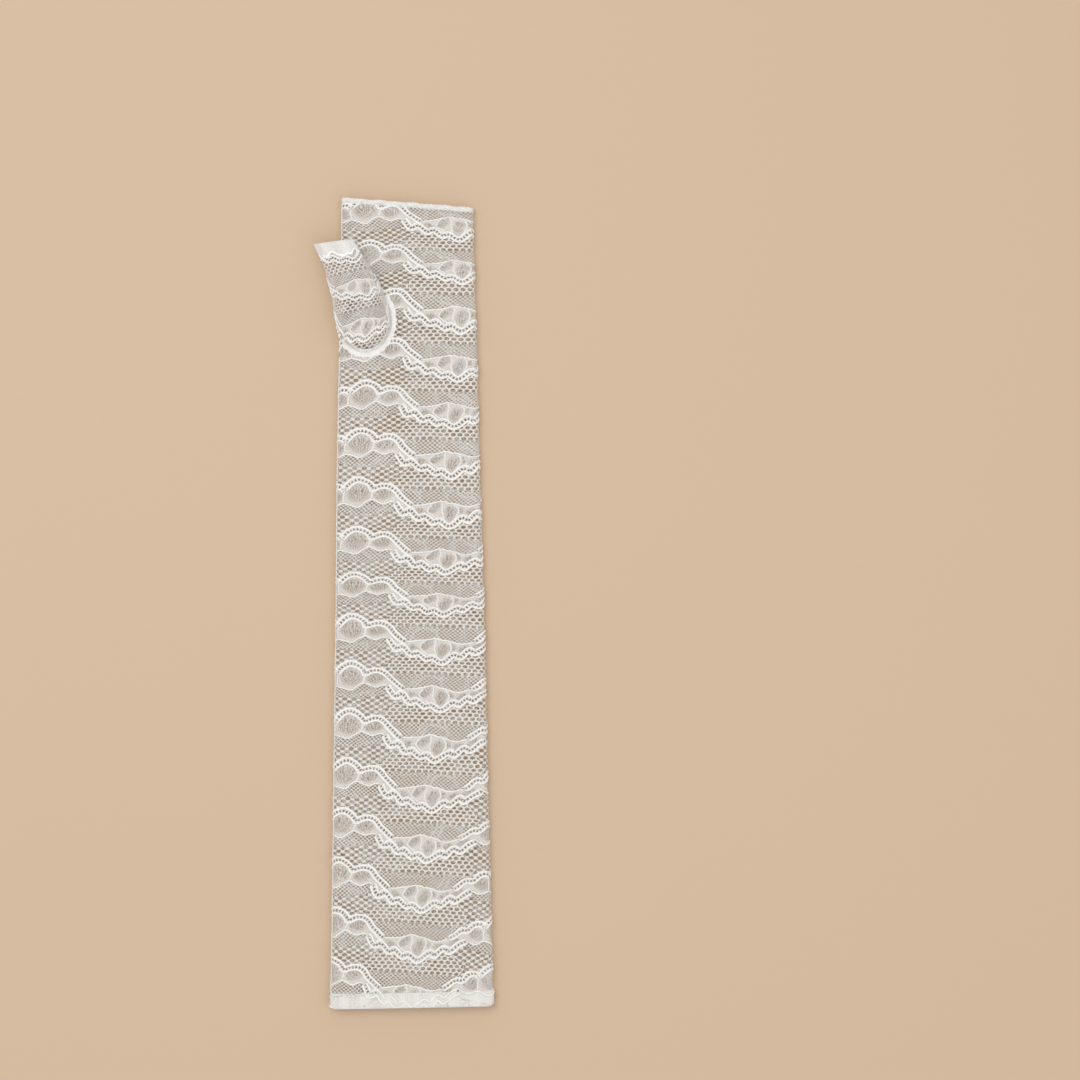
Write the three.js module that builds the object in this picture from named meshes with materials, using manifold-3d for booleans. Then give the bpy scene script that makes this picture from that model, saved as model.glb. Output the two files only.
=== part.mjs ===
// Evening mitten: opera length, fingerless, stretch lace. It lies flat with its palm side up.
// Millimetres. +X is the little finger side, -X the thumb side, +Y the fingers, +Z up.
import * as THREE from 'three';
import Module from 'manifold-3d';

const wasm = await Module();
wasm.setup();

// Driving dimensions of the sleeve
const length = 526; // along the thumb side, finger edge to arm edge
const palmWidth = 84.5; // laid flat, at the finger edge
const armWidth = 106; // laid flat, at the arm edge
const drift = 3.2; // how far the arm edge's middle lies towards the little finger side
const fingerSlant = 6.5; // the finger edge is this much lower on the little finger side
const armSlant = 2; // the arm edge is this much higher on the little finger side
const palmHeight = 8.5; // how thick the flat tube lies at the finger edge
const armHeight = 9.5; // how thick it lies at the arm edge
const foldShare = 0.45; // radius of the side folds as a share of that thickness

// Driving dimensions of the cloth
const wall = 1; // lace
const hemWall = 1.5; // turned or rolled hem
const hemProud = 0.4; // how far a hem stands out from the lace
const clearance = 0.3; // between two pieces that meet
const fingerHem = 4;
const armHem = 10;
const seamWidth = 2.4; // the sewn seam on the thumb side fold
const seamProud = 1;

// Driving dimensions of the thumb
const thumbFromFingers = 79; // finger edge to the middle of the thumb's root, along the hand
const thumbFromFold = 16.5; // thumb side fold to the middle of the thumb's root
const rootWidth = 28.5;
const rootLength = 36;
const thumbLength = 51; // middle of the root to the open end, along the hand
const thumbLean = 20.5; // how far the open end lies towards the thumb side
const thumbWidth = 24.4; // laid flat, at the open end
const thumbHeight = 9; // how thick the thumb lies
const thumbTurn = 14; // degrees that the thumb's sections turn outwards
const thumbHem = 7;
const thumbSag = 0.2; // slope at which the thumb droops past the side fold
const sagStart = 2; // over which the droop sets in
const ringSeamWidth = 4.2; // the double seam round the thumb's root
const ringSeamHeight = 1.5;
const seamBelowThumb = 2; // the side seam starts this far below the double seam
const seamAboveThumb = 12; // and the hand seam ends this far above it, where the thumb lies over the fold

const colours = {
  lace: 0xf4f1ec,
  hem: 0xfbf9f5,
};

// The flat tube's width and middle along its length, 0 at the finger edge, 1 at the arm edge.
// widening is a share of the step from palm width to arm width, drift a share of the drift.
const sleeveTable = [
  { along: 0.0, widening: 0.0, drift: 0.0 },
  { along: 0.18, widening: 0.21, drift: 0.2 },
  { along: 0.34, widening: 0.38, drift: 0.25 },
  { along: 0.53, widening: 0.56, drift: 0.6 },
  { along: 0.71, widening: 0.71, drift: 0.7 },
  { along: 0.89, widening: 0.87, drift: 0.9 },
  { along: 1.0, widening: 1.0, drift: 1.0 },
];

// The thumb's rings, from the root on the palm to the open end.
// lean: share of thumbLean. low, top: where the lower and upper wall have got to, shares of thumbLength.
// turn: share of thumbTurn. swell: of the root width. narrow: share of the step to the end width.
// height: share of thumbHeight. seat: share of the clearance that the ring lies above the palm.
const hemStart = 1 - thumbHem / thumbLength;
const rootReach = rootLength / 2 / thumbLength;
const thumbTable = [
  { lean: -0.06, low: rootReach, top: -rootReach, turn: 0.0, swell: 1.0, narrow: 0.0, height: 0.0, seat: 0 },
  { lean: 0.09, low: 0.39, top: -rootReach, turn: 0.3, swell: 1.2, narrow: 0.0, height: 0.5, seat: 0.7 },
  { lean: 0.14, low: 0.5, top: -0.22, turn: 0.7, swell: 1.2, narrow: 0.05, height: 0.9, seat: 1 },
  { lean: 0.3, low: 0.64, top: 0.1, turn: 1.0, swell: 1.2, narrow: 0.4, height: 1.0, seat: 1 },
  { lean: 0.55, low: 0.76, top: 0.48, turn: 1.0, swell: 1.3, narrow: 0.8, height: 1.0, seat: 1 },
  { lean: 0.82, low: hemStart, top: hemStart - 0.01, turn: 0.6, swell: 1.0, narrow: 0.9, height: 1.0, seat: 4 },
  { lean: 1.0, low: 1.0, top: 0.99, turn: 0.45, swell: 1.0, narrow: 1.0, height: 1.0, seat: 4 },
];
const hemRow = thumbTable.length - 2;
const endRow = thumbTable.length - 1;

const lerp = THREE.MathUtils.lerp;

// A smooth value between rows of a table, through every row
function smoothColumn(table, column, position) {
  const last = table.length - 1;
  const row = Math.min(Math.floor(position), last - 1);
  const value = (index) => table[THREE.MathUtils.clamp(index, 0, last)][column];
  const t = position - row;
  const before = value(row - 1);
  const start = value(row);
  const end = value(row + 1);
  const after = value(row + 2);
  const slopeIn = (end - before) / 2;
  const slopeOut = (after - start) / 2;
  const t2 = t * t;
  const t3 = t2 * t;
  return (2 * t3 - 3 * t2 + 1) * start + (t3 - 2 * t2 + t) * slopeIn
    + (3 * t2 - 2 * t3) * end + (t3 - t2) * slopeOut;
}

// The sleeve's size at a share of its length
function sleeveAt(along) {
  const last = sleeveTable.length - 1;
  let row = 0;
  while (row < last - 1 && along > sleeveTable[row + 1].along) row += 1;
  const from = sleeveTable[row];
  const to = sleeveTable[row + 1];
  const t = (along - from.along) / (to.along - from.along);
  const widening = lerp(from.widening, to.widening, t);
  const height = lerp(palmHeight, armHeight, along);
  return {
    middle: drift * lerp(from.drift, to.drift, t),
    halfWidth: lerp(palmWidth, armWidth, widening) / 2,
    height,
    radius: height * foldShare,
  };
}

// Where a point lies along the hand: side runs from -1 at the thumb fold to 1 at the other fold
function alongToY(along, side) {
  const share = (1 + side) / 2;
  const fingerEdge = length / 2 - fingerSlant * share;
  const armEdge = -length / 2 + armSlant * share;
  return lerp(fingerEdge, armEdge, along);
}

// How finely the flat tube is faceted: over the palm, round a fold, over the back, along its length
const palmSteps = 16;
const foldSteps = 6;
const backSteps = 6;
const sleeveSteps = 18;

// One closed ring round the flat tube: over the palm, round a fold, along the back, round the other fold.
// grow moves it outwards, but never below the surface that the back lies on unless sink says how far.
function sleeveRing(along, grow, sink) {
  const { middle, halfWidth, height, radius } = sleeveAt(along);
  const flat = halfWidth - radius;
  const crown = height - 2 * radius;
  const bottom = -sink;
  const ring = [];
  const add = (x, z) => {
    const side = THREE.MathUtils.clamp(x / halfWidth, -1.1, 1.1);
    ring.push(new THREE.Vector3(middle + x, alongToY(along, side), z));
  };
  for (let i = 0; i < palmSteps; i++) {
    const across = -1 + 2 * i / palmSteps;
    add(flat * across, 2 * radius + crown * (1 - across * across) + grow);
  }
  const rise = (2 * radius + grow - bottom) / 2;
  for (let i = 0; i < foldSteps; i++) {
    const angle = Math.PI * (0.5 - i / foldSteps);
    add(flat + (radius + grow) * Math.cos(angle), bottom + rise + rise * Math.sin(angle));
  }
  for (let i = 0; i < backSteps; i++) {
    add(flat * (1 - 2 * i / backSteps), bottom);
  }
  for (let i = 0; i < foldSteps; i++) {
    const angle = Math.PI * (1.5 - i / foldSteps);
    add(-flat + (radius + grow) * Math.cos(angle), bottom + rise + rise * Math.sin(angle));
  }
  return ring;
}

// Height of the palm's outer face, and past the thumb side fold the droop of what hangs over it
function palmTop(x, y) {
  const along = THREE.MathUtils.clamp((length / 2 - y) / length, 0, 1);
  const { middle, halfWidth, height, radius } = sleeveAt(along);
  const flat = halfWidth - radius;
  const crown = height - 2 * radius;
  const across = THREE.MathUtils.clamp((x - middle) / flat, -1, 1);
  const past = Math.max(0, -flat - (x - middle));
  const droop = thumbSag * past * past / (past + sagStart);
  return 2 * radius + crown * (1 - across * across) - droop;
}

// The middle of the thumb's root
const rootAlong = thumbFromFingers / length;
const rootSleeve = sleeveAt(rootAlong);
const root = {
  x: rootSleeve.middle - rootSleeve.halfWidth + thumbFromFold,
  y: alongToY(rootAlong, thumbFromFold / rootSleeve.halfWidth - 1),
};

const thumbSides = 26;
const thumbSteps = 14;
const squareness = 0.8; // 1 gives oval rings, less gives flatter, squarer ones

function softPower(value) {
  return Math.sign(value) * Math.abs(value) ** squareness;
}

// A point of the thumb's outer face: position runs through the rows of the table, angle round the ring
function thumbPoint(position, angle) {
  const column = (name) => smoothColumn(thumbTable, name, position);
  const narrow = column('narrow');
  const halfWidth = (rootWidth * column('swell') * (1 - narrow) + thumbWidth * narrow) / 2;
  const low = column('low') * thumbLength;
  const top = column('top') * thumbLength;
  const turn = THREE.MathUtils.degToRad(thumbTurn * column('turn'));
  const lateral = halfWidth * softPower(Math.sin(angle));
  const upness = (1 + softPower(Math.cos(angle))) / 2;
  const forward = (low - top) * (0.5 - upness);
  const x = root.x - thumbLean * column('lean') + Math.cos(turn) * lateral - Math.sin(turn) * forward;
  const y = root.y + (low + top) / 2 + Math.sin(turn) * lateral + Math.cos(turn) * forward;
  const lift = clearance * (1 + column('seat')) + thumbHeight * column('height') * upness;
  return new THREE.Vector3(x, y, palmTop(x, y) + lift);
}

// The same point moved along the surface's outward direction
function thumbOffset(position, angle, distance) {
  const step = 0.01;
  const here = Math.min(position, endRow - step);
  const alongStep = thumbPoint(here + step, angle).sub(thumbPoint(here, angle));
  const roundStep = thumbPoint(here, angle + step).sub(thumbPoint(here, angle - step));
  const outward = roundStep.cross(alongStep).normalize();
  return thumbPoint(position, angle).addScaledVector(outward, distance);
}

function thumbRing(position, distance, drop) {
  const ring = [];
  for (let i = 0; i < thumbSides; i++) {
    const point = thumbOffset(position, 2 * Math.PI * i / thumbSides, distance);
    point.z -= drop;
    ring.push(point);
  }
  return ring;
}

// A closed mesh from rows of points: rows join to the next one, and the last row to the first
function wallGeometry(rows) {
  const positions = [];
  const indices = [];
  const count = rows[0].length;
  rows.forEach((row) => row.forEach((point) => positions.push(point.x, point.y, point.z)));
  for (let r = 0; r < rows.length; r++) {
    const next = (r + 1) % rows.length;
    for (let i = 0; i < count; i++) {
      const j = (i + 1) % count;
      const a = r * count + i;
      const b = r * count + j;
      const c = next * count + j;
      const d = next * count + i;
      indices.push(a, b, c, a, c, d);
    }
  }
  return indexedGeometry(positions, indices);
}

// A closed mesh from open-ended rows: a solid bar whose two ends are flat fans
function barGeometry(rows) {
  const positions = [];
  const indices = [];
  const count = rows[0].length;
  rows.forEach((row) => row.forEach((point) => positions.push(point.x, point.y, point.z)));
  for (let r = 0; r + 1 < rows.length; r++) {
    for (let i = 0; i < count; i++) {
      const j = (i + 1) % count;
      const a = r * count + i;
      const b = r * count + j;
      const c = (r + 1) * count + j;
      const d = (r + 1) * count + i;
      indices.push(a, b, c, a, c, d);
    }
  }
  const capEnd = (row, flip) => {
    const middle = new THREE.Vector3();
    rows[row].forEach((point) => middle.add(point));
    middle.divideScalar(count);
    const centre = positions.length / 3;
    positions.push(middle.x, middle.y, middle.z);
    for (let i = 0; i < count; i++) {
      const a = row * count + i;
      const b = row * count + (i + 1) % count;
      if (flip) indices.push(centre, b, a);
      else indices.push(centre, a, b);
    }
  };
  capEnd(0, true);
  capEnd(rows.length - 1, false);
  return indexedGeometry(positions, indices);
}

// Faces are turned to point out, whichever way the rows ran
function indexedGeometry(positions, indices) {
  const corner = (index) => new THREE.Vector3().fromArray(positions, index * 3);
  let volume = 0;
  for (let i = 0; i < indices.length; i += 3) {
    const a = corner(indices[i]);
    volume += a.dot(corner(indices[i + 1]).cross(corner(indices[i + 2])));
  }
  if (volume < 0) indices.reverse();
  const geometry = new THREE.BufferGeometry();
  geometry.setAttribute('position', new THREE.Float32BufferAttribute(positions, 3));
  geometry.setIndex(indices);
  return geometry;
}

function toSolid(geometry) {
  const vertProperties = new Float32Array(geometry.attributes.position.array);
  const triVerts = new Uint32Array(geometry.index.array);
  return new wasm.Manifold(new wasm.Mesh({ numProp: 3, vertProperties, triVerts }));
}

function toGeometry(solid) {
  const mesh = solid.getMesh();
  const geometry = new THREE.BufferGeometry();
  geometry.setAttribute('position', new THREE.BufferAttribute(mesh.vertProperties, 3));
  geometry.setIndex(new THREE.BufferAttribute(mesh.triVerts, 1));
  geometry.computeVertexNormals();
  return geometry;
}

// A stretch of the flat tube between two distances from the finger edge, as a wall of one thickness.
// swell is how far its middle stands out beyond its edges.
function tubeStretch(from, to, steps, thickness, proud, swell) {
  const outer = [];
  const inner = [];
  for (let i = 0; i <= steps; i++) {
    const share = i / steps;
    const along = lerp(from, to, share) / length;
    const grow = proud + swell * Math.sin(Math.PI * share);
    outer.push(sleeveRing(along, grow, 0));
    inner.push(sleeveRing(along, proud - thickness, -thickness));
  }
  return wallGeometry([...outer, ...inner.reverse()]);
}

// The hole in the palm that the thumb opens into
function thumbHole() {
  const margin = 2 * wall;
  const rim = thumbRing(0, -margin, 0);
  const below = rim.map((point) => new THREE.Vector3(point.x, point.y, palmHeight / 2));
  const above = rim.map((point) => new THREE.Vector3(point.x, point.y, 2 * palmHeight));
  return barGeometry([below, above]);
}

function sleeveGeometry() {
  const shell = tubeStretch(fingerHem + clearance, length - armHem - clearance, sleeveSteps, wall, 0, 0);
  return toGeometry(toSolid(shell).subtract(toSolid(thumbHole())));
}

// The space that the sleeve takes up with a clearance round it
function sleeveEnvelope() {
  const rows = [];
  for (let i = 0; i <= sleeveSteps; i++) {
    rows.push(sleeveRing(i / sleeveSteps, clearance, clearance));
  }
  return barGeometry(rows);
}

function thumbGeometry() {
  const outer = [thumbRing(0, 0, wall)];
  const inner = [thumbRing(0, -wall, wall)];
  for (let i = 0; i <= thumbSteps; i++) {
    outer.push(thumbRing(hemRow * i / thumbSteps, 0, 0));
    inner.push(thumbRing(hemRow * i / thumbSteps, -wall, 0));
  }
  const shell = toSolid(wallGeometry([...outer, ...inner.reverse()]));
  return toGeometry(shell.subtract(toSolid(sleeveEnvelope())));
}

function thumbHemGeometry() {
  const steps = 3;
  const gap = clearance / thumbHem;
  const outer = [];
  const inner = [];
  for (let i = 0; i <= steps; i++) {
    const position = lerp(hemRow + gap, endRow, i / steps);
    const swell = hemProud * Math.sin(Math.PI * i / steps);
    outer.push(thumbRing(position, swell, 0));
    inner.push(thumbRing(position, -hemWall, 0));
  }
  return wallGeometry([...outer, ...inner.reverse()]);
}

// The space that the thumb takes up with a clearance round it
function thumbEnvelope() {
  const rows = [thumbRing(0, clearance, 2 * clearance)];
  for (let i = 0; i <= thumbSteps; i++) {
    rows.push(thumbRing(hemRow * i / thumbSteps, clearance, 0));
  }
  return barGeometry(rows);
}

// The double seam lies on the palm round the thumb's root, from the fold past the heel to the crotch.
// Its section: distance out from the root as a share of its width, height as a share of its height.
const ringSeamSection = [
  { out: 0.0, up: 0.0 },
  { out: 0.0, up: 0.7 },
  { out: 0.2, up: 1.0 },
  { out: 0.5, up: 0.55 },
  { out: 0.8, up: 1.0 },
  { out: 1.0, up: 0.6 },
  { out: 1.0, up: 0.0 },
];
const ringSeamFrom = -52; // degrees round the root, 0 at the heel, 90 towards the little finger side
const ringSeamTo = 142;

function thumbSeamGeometry() {
  const steps = 30;
  const rows = [];
  for (let i = 0; i <= steps; i++) {
    const angle = THREE.MathUtils.degToRad(lerp(ringSeamFrom, ringSeamTo, i / steps));
    rows.push(ringSeamSection.map(({ out, up }) => {
      const distance = clearance + out * ringSeamWidth;
      const lateral = (rootWidth / 2 + distance) * softPower(Math.sin(angle));
      const forward = -(rootLength / 2 + distance) * softPower(Math.cos(angle));
      const x = root.x - thumbLean * thumbTable[0].lean + lateral;
      const y = root.y + forward;
      return new THREE.Vector3(x, y, palmTop(x, y) + clearance * 1.2 + up * ringSeamHeight);
    }));
  }
  const band = toSolid(barGeometry(rows));
  return toGeometry(band.subtract(toSolid(thumbEnvelope())).subtract(toSolid(sleeveEnvelope())));
}

// A sewn seam along the thumb side fold between two distances from the finger edge
function foldSeamGeometry(from, to, steps) {
  const rows = [];
  for (let i = 0; i <= steps; i++) {
    const along = lerp(from, to, i / steps) / length;
    const { middle, halfWidth, radius } = sleeveAt(along);
    const y = alongToY(along, -1);
    const near = middle - halfWidth - clearance;
    const corner = (out, up) => new THREE.Vector3(near - out * seamProud, y, radius + up * seamWidth / 2);
    rows.push([corner(0, -1), corner(0.7, -1), corner(1, 0), corner(0.7, 1), corner(0, 1)]);
  }
  return barGeometry(rows);
}

const rootReachWithSeam = rootLength / 2 + ringSeamWidth;
const handSeamEnd = thumbFromFingers - rootReachWithSeam - seamAboveThumb;
const sideSeamStart = thumbFromFingers + rootReachWithSeam + seamBelowThumb;

const pieces = {
  sleeve: { geometry: sleeveGeometry(), colour: colours.lace },
  thumb: { geometry: thumbGeometry(), colour: colours.lace },
  thumb_seam: { geometry: thumbSeamGeometry(), colour: colours.hem },
  thumb_hem: { geometry: thumbHemGeometry(), colour: colours.hem },
  finger_hem: { geometry: tubeStretch(0, fingerHem, 3, hemWall, 0, hemProud), colour: colours.hem },
  arm_hem: {
    geometry: tubeStretch(length - armHem, length, 3, hemWall, hemProud / 2, hemProud / 2),
    colour: colours.hem,
  },
  side_seam: {
    geometry: foldSeamGeometry(sideSeamStart, length - armHem - clearance, sleeveSteps),
    colour: colours.hem,
  },
  hand_seam: { geometry: foldSeamGeometry(fingerHem + clearance, handSeamEnd, 6), colour: colours.hem },
};

const mitten = new THREE.Group();
for (const [name, { geometry, colour }] of Object.entries(pieces)) {
  const material = new THREE.MeshStandardMaterial({ color: colour, roughness: 0.85, metalness: 0 });
  const mesh = new THREE.Mesh(geometry, material);
  mesh.name = name;
  mitten.add(mesh);
}

// The origin is on the surface below the middle of the mitten
const box = new THREE.Box3().setFromObject(mitten);
const centre = box.getCenter(new THREE.Vector3());
mitten.position.set(-centre.x, -centre.y, -box.min.z);

export default mitten;
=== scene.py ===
"""Evening mitten of stretch lace, laid flat with its palm side up.

The lace is charted once, for one repeat, and the chart is then laid round the sleeve and the thumb.
Sizes are millimetres until a mesh is made. +X is the little finger side, +Y the fingers, +Z up.
"""
import math

import bpy
import numpy as np
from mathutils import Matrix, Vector


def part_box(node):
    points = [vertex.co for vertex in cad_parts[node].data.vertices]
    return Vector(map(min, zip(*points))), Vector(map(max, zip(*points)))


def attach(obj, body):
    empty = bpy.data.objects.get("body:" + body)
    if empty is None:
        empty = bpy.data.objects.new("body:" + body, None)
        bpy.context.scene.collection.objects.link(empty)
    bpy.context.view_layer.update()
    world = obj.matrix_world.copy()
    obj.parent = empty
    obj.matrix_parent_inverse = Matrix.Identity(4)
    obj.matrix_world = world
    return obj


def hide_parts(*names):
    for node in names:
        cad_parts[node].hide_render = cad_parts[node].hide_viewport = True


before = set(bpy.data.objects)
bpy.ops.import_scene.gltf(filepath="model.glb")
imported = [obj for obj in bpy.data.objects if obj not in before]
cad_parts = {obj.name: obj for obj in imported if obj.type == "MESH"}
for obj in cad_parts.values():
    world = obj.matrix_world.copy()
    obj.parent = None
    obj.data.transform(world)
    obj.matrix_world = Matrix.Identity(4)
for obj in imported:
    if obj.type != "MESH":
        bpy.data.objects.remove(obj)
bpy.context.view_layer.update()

MM = 0.001
JOINED = 400  # corners that agree when rounded to this many parts of a millimetre are joined
EMPTY = 0.002  # square millimetres


def table(columns, *rows):
    """Named columns of numbers."""
    return dict(zip(columns.split(), np.array(rows, float).T))


# The sleeve, laid flat
LENGTH = 526.0
PALM_WIDTH = 84.5
ARM_WIDTH = 106.0
DRIFT = 3.2
FINGER_SLANT = 6.5
ARM_SLANT = 2.0
PALM_HEIGHT = 8.5
ARM_HEIGHT = 9.5
FOLD_SHARE = 0.45
FINGER_HEM = 4.0
ARM_HEM = 10.0
CLOTH = 0.5  # how far the back of the cloth stays above what it lies on
FLOOR_GAP = 0.02
HEM_OVERLAP = 1.0  # how far the lace runs on under a hem
ARM_HEM_MARGINS = (0.7, 0.4)  # from the hem's outer and inner edge to the lace that shows through it
CORNER_TURN = 1.8  # how far the arm hem's corners turn in
CORNER_START = 0.93
HOLE_REACH = 15.0  # about half the thumb hole
SIDE_SEAM_END = 160.0
HAND_SEAM_START = 218.0

# widening is a share of the step from palm to arm width, drift a share of the drift
SLEEVE = table(
    "along widening drift",
    (0.00, 0.00, 0.00),
    (0.18, 0.21, 0.20),
    (0.34, 0.38, 0.25),
    (0.53, 0.56, 0.60),
    (0.71, 0.71, 0.70),
    (0.89, 0.87, 0.90),
    (1.00, 1.00, 1.00),
)

# The thumb
THUMB_FROM_FINGERS = 79.0
THUMB_FROM_FOLD = 16.5
ROOT_WIDTH = 28.5
ROOT_LENGTH = 36.0
THUMB_LENGTH = 51.0
THUMB_LEAN = 20.5
THUMB_WIDTH = 24.4
THUMB_HEIGHT = 9.0
THUMB_TURN = 14.0
THUMB_HEM = 7.0
THUMB_SAG = 0.2
SAG_START = 2.0
SQUARENESS = 0.8
CLEARANCE = 0.3
HEM_START = 1 - THUMB_HEM / THUMB_LENGTH
ROOT_REACH = ROOT_LENGTH / 2 / THUMB_LENGTH

# Each ring of the thumb: how far it leans, where its lower and upper wall have got to, how it is turned,
# how wide and how narrow it is, how high, and how far it is lifted off the palm
THUMB = table(
    "lean low top turn swell narrow height seat",
    (-0.06, ROOT_REACH, -ROOT_REACH, 0.00, 1.0, 0.00, 0.0, 0.0),
    (0.09, 0.39, -ROOT_REACH, 0.30, 1.2, 0.00, 0.5, 0.7),
    (0.14, 0.50, -0.22, 0.70, 1.2, 0.05, 0.9, 1.0),
    (0.30, 0.64, 0.10, 1.00, 1.2, 0.40, 1.0, 1.0),
    (0.55, 0.76, 0.48, 1.00, 1.3, 0.80, 1.0, 1.0),
    (0.82, HEM_START, HEM_START - 0.01, 0.60, 1.0, 0.90, 1.0, 4.0),
    (1.00, 1.00, 0.99, 0.45, 1.0, 1.00, 1.0, 4.0),
)
HEM_ROW = 5
END_ROW = 6

# The grid of places on the thumb, by which its lace is laid
RINGS = 49
TURNS = 97
ROWS_TO_RING = (RINGS - 1) / END_ROW
SEARCH_STEPS = 6

# Where the thumb lies on the palm: how much of the lace's rise is gone, and that place's margins and fades
PRESS = 0.8
PRESS_BESIDE = (3.0, 2.0)
PRESS_HEEL = (4.0, 4.0)
PRESS_TIP = (6.0, 3.0)

# The lace chart: u to the little finger side, v towards the arm, from the low point of the trough
CHART = 0.65  # millimetres to one chart unit
CHART_LEFT = -100.0
PITCH = 50.3
PERIOD = 165.0
LADDER = 2.6  # from a row of eyelets to the cord on either side of it
MARGIN_FADE = 3.0
SPAN_STEPS = 8
FAR = 1e3
EYELET_STEP = 3.5
EYELET = (1.12, 1.38)  # half its length along the row and across it
EYELET_RISES = (0.45, 0.2)  # beside the cords and at the hole
# Painted shade: the eyelet's yarn is painted lighter beside the cords, where it rises, and darker at the
# hole
EYELET_TONES = (1.0, 0.9)
CORD_STEP = 2.4
CORD_SIDES = 6
CORD_TIP = 0.3
PLY = 3.0  # along a cord, from one turn of its yarn to the next
HEM_PLY = 1.1

# A cord's tone is painted light and shade: the higher cords lighter, the low flat vein darker
CORDS = {
    "ladder": {"half_width": 1.1, "half_height": 0.5, "rise": 0.45, "tone": 1.0},
    "edge": {"half_width": 0.8, "half_height": 0.42, "rise": 0.4, "tone": 0.95},
    "vein": {"half_width": 1.1, "half_height": 0.22, "rise": 0.12, "tone": 0.35},
}

LOWER_LADDER = (
    (-51.5, -24.2), (-44.2, -13.9), (-37.8, -17.1), (-29.3, -8.0), (-23.9, -11.1),
    (-15.5, -3.4), (-9.7, -6.3), (0.0, 0.0), (11.9, -8.9), (17.7, -5.9),
    (25.8, -14.0), (31.7, -10.6), (40.0, -17.7), (47.3, -21.7),
)
PETAL_HEMS = (
    (47.3, -21.7), (56.5, -19.0), (65.0, -22.5), (78.0, -18.8), (83.6, -22.5), (90.8, -26.9),
    (95.7, -24.8), (101.1, -22.6), (106.0, -24.1), (110.2, -25.5), (113.5, -24.2),
)
LEFT_ARCHES = (
    (-100.0, -36.8), (-97.0, -41.0), (-92.0, -45.5), (-86.0, -47.7), (-78.4, -44.9), (-74.2, -40.9),
    (-72.7, -37.3), (-68.1, -39.6), (-62.0, -41.2), (-56.0, -40.0), (-51.1, -36.0), (-47.5, -31.3),
    (-42.65, -27.0), (-37.8, -23.0), (-34.8, -21.9),
)
WING_TOPS = (
    (-34.8, -21.9), (-26.9, -22.6), (-20.8, -23.5), (-15.4, -24.3), (-7.5, -26.5), (0.0, -24.4),
    (4.6, -24.1), (10.7, -21.7), (17.9, -20.1), (24.0, -21.6), (30.0, -23.5),
)
RIGHT_ARCHES = (
    (30.0, -23.5), (34.9, -26.8), (39.7, -31.6), (43.4, -33.1), (47.0, -31.9), (50.3, -34.5),
    (53.0, -38.5), (58.5, -40.1), (62.0, -39.5), (65.0, -36.8),
)
DIVIDERS = (
    ((-72.7, -37.3), (-73.6, -31.5), (-75.0, -26.0)),
    ((65.0, -36.8), (64.4, -29.0), (65.0, -22.5)),
)
VEINS = (
    ((-15.4, -24.3), (-18.5, -21.5), (-21.0, -16.5), (-17.5, -12.2), (-9.7, -6.3)),
    ((-7.5, -26.5), (-6.6, -20.5), (-7.4, -14.0), (-5.0, -6.5)),
    ((4.6, -24.1), (8.0, -18.0), (7.4, -12.5), (3.0, -4.5)),
)

# Where the fine net under a petal gives way to the dotted one
PETAL_FINE_END = table(
    "u v", (-122, -24), (-115, -14), (-100, -12), (-80, -10), (-57, -14.6), (-45, -24))
# Where the trough's open net gives way to the fine one
TROUGH_FINE_START = table("u v", (-60, 14.0), (-34.8, 12.6), (0, 12.5), (30, 13.2), (60, 14.0))
# The two sides of the trough, between its nets and the dotted one
TROUGH_LEFT = table("v u", (-24, -44), (-12, -36), (3, -57), (13, -50), (30, -36))
TROUGH_RIGHT = table("v u", (-24, 38), (-7, 36), (5, 50), (13, 44), (30, 30))

# The close cloth, and how far from its middle a thin place ends and its threads stop fanning
CLOTH_ROWS = 9
CLOTH_COLUMNS = 84
CLOTH_RISE = 0.1
CLOTH_TONE = 0.45
SHEER_END = 1.25
SHEER_FADE = 0.45
FAN_END = 1.4
FAN_CENTRE = 2.4

# Thin places in the cloth, with their tilt in degrees
SHEER = table(
    "middle_u middle_v reach_u reach_v tilt",
    (-86.4, -33.0, 10.0, 9.0, 0),
    (-62.5, -32.0, 8.5, 5.0, -12),
    (57.0, -29.0, 7.5, 5.5, 20),
    (-15.0, -19.0, 8.0, 3.8, -38),
    (0.5, -13.5, 5.0, 7.5, 12),
    (9.5, -17.0, 3.5, 3.0, 30),
    (-42.0, -24.5, 4.5, 1.7, 30),
    (-28.5, -16.5, 4.0, 3.0, 0),
    (20.0, -15.5, 5.0, 2.6, -25),
    (34.0, -20.0, 6.5, 2.2, -30),
)

# The nets: a cell's width and height, half its hole's width and height, how square the hole is,
# how far the yarn rises from the middle of a thread to the hole, its tone there, and the dots on it
# The tones are painted light and shade: higher on the raised middle of a thread and on the dots, lower at
# the hole
NETS = {
    "fine": {
        "cell": (PERIOD / 38, 1.75), "hole": (1.55, 1.22), "square": 0.58,
        "rises": (0.28, 0.05), "tones": (0.7, 0.4), "dot": 0.0,
    },
    "brick": {
        "cell": (PERIOD / 26, 3.70), "hole": (2.40, 1.50), "square": 0.74,
        "rises": (0.30, 0.22, 0.0), "tones": (0.5, 0.4, 0.2), "dot": 0.0,
    },
    "dotted": {
        "cell": (PERIOD / 19, 2.90), "hole": (2.40, 1.50), "square": 0.84,
        "rises": (0.15, 0.12, 0.0), "tones": (0.1, 0.3, 0.1), "dot": 0.55,
    },
}

# Where the low point of a band's eyelet row lies, in chart units from the photograph's top left:
# read off for some bands, and even between them
BAND_COUNT = 17
LOW_POINTS = table(
    "band right down",
    (-2, 449, 155), (0, 457.5, 241), (1, 461, 283.5), (2, 459, 333), (4, 452, 428), (6, 447, 527),
    (7, 444, 573), (8, 442, 615), (10, 438, 710), (12, 429.5, 810), (15, 415, 959), (17, 404, 1057),
)
CHART_MIDDLE = (405.2, 603.0)
BANDS = range(-1, BAND_COUNT)
HEM_BANDS = range(BAND_COUNT - 2, BAND_COUNT + 1)
PERIODS = range(-1, 3)

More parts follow.
